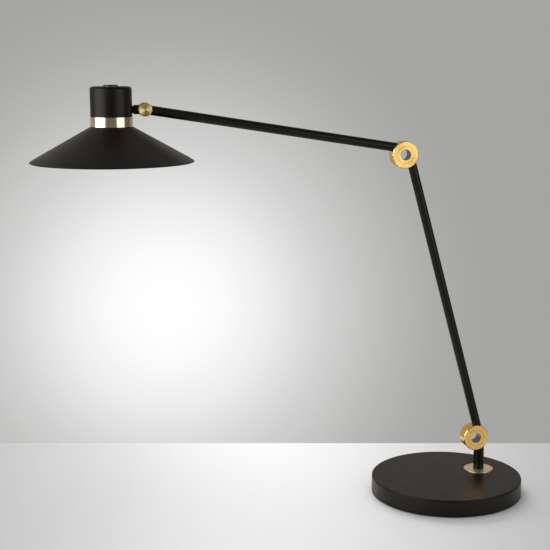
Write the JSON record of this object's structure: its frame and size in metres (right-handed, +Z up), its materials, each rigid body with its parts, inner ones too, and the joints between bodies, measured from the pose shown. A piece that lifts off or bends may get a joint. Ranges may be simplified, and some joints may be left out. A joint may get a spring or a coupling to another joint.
{
  "type": "desk lamp",
  "caption": "Desk lamp with a heavy round base, swivelling stem, straight arms on hollow brass ring knuckles and a tilting cone-shaded head with a push button.",
  "frame": {"origin": "centre of the base pad's underside, on the table", "axes": "+Z up; the arms swing in a plane parallel to XZ and the head reaches towards -X"},
  "size_m": [0.6894, 0.2316, 0.5934],
  "materials": {
    "black_paint": "satin black powder coat",
    "shade_paint": "satin black outside, white inside",
    "brass": "satin turned brass, lacquered",
    "bronze": "plain bearing bronze",
    "steel": "turned steel",
    "zinc_steel": "zinc plated",
    "cast_iron": "rough casting",
    "foam_rubber": "matt foam rubber",
    "black_rubber": "matt rubber",
    "fibre": "vulcanised fibre",
    "lead_sheath": "smooth sheath",
    "black_resin": "moulded resin",
    "button_plastic": "satin plastic",
    "nickel": "nickel plated sheet",
    "opal": "opal diffuser"
  },
  "bodies": {
    "base": {"base_cover": "black_paint", "base_ballast": "cast_iron", "base_plate": "zinc_steel", "base_pad": "foam_rubber", "base_screw_1": "zinc_steel", "base_screw_2": "zinc_steel", "base_screw_3": "zinc_steel", "cable_grommet": "black_rubber", "swivel_bush": "bronze", "swivel_stop": "zinc_steel", "escutcheon": "brass"},
    "stem": {"stem_spindle": "black_paint", "stem_washer": "zinc_steel", "stem_nut": "zinc_steel", "stem_lead": "lead_sheath", "lower_knuckle_back": "brass", "lower_pivot_sleeve": "steel", "lower_ring_nut": "brass"},
    "lower_arm": {"lower_knuckle_front": "brass", "lower_stop_pin": "steel", "lower_nut_washer": "fibre", "lower_friction_washer": "fibre", "lower_arm_tube": "black_paint", "lower_arm_lead": "lead_sheath", "upper_knuckle_back": "brass", "upper_pivot_sleeve": "steel", "upper_ring_nut": "brass"},
    "upper_arm": {"upper_knuckle_front": "brass", "upper_stop_pin": "steel", "upper_nut_washer": "fibre", "upper_friction_washer": "fibre", "upper_arm_tube": "black_paint", "upper_arm_lead": "lead_sheath", "head_knuckle_back": "brass"},
    "head": {"head_knuckle_front": "brass", "head_friction_washer": "fibre", "head_pivot_screw": "steel", "head_link": "black_paint", "link_nut": "zinc_steel", "head_cap": "black_paint", "shade_band": "brass", "shade": "shade_paint", "lampholder": "black_resin", "shade_ring": "black_resin", "bulb_cap": "nickel", "bulb_globe": "opal", "switch_body": "black_resin", "switch_nut": "zinc_steel"},
    "button": {"switch_button": "button_plastic"}
  },
  "joints": [
    {"name": "base_swivel", "type": "hinge", "parent": "base", "child": "stem", "pos_m": [0.05633, 0.01462, 0.0245], "axis": [0, 0, 1], "range_deg": [-160, 160]},
    {"name": "lower_knuckle", "type": "hinge", "parent": "stem", "child": "lower_arm", "pos_m": [0.04818, 0.01462, 0.0754], "axis": [0, -1, 0], "range_deg": [-20, 30]},
    {"name": "upper_knuckle", "type": "hinge", "parent": "lower_arm", "child": "upper_arm", "pos_m": [-0.06733, 0.01462, 0.49447], "axis": [0, 1, 0], "range_deg": [-60, 40]},
    {"name": "head_tilt", "type": "hinge", "parent": "upper_arm", "child": "head", "pos_m": [-0.42836, 0.01462, 0.56088], "axis": [0, -1, 0], "range_deg": [-60, 25]},
    {"name": "switch_press", "type": "slide", "parent": "head", "child": "button", "axis": [0, 0, -1], "range_m": [0, 0.0015], "stiffness_N_per_m": 500, "springref_m": -0.003}
  ]
}
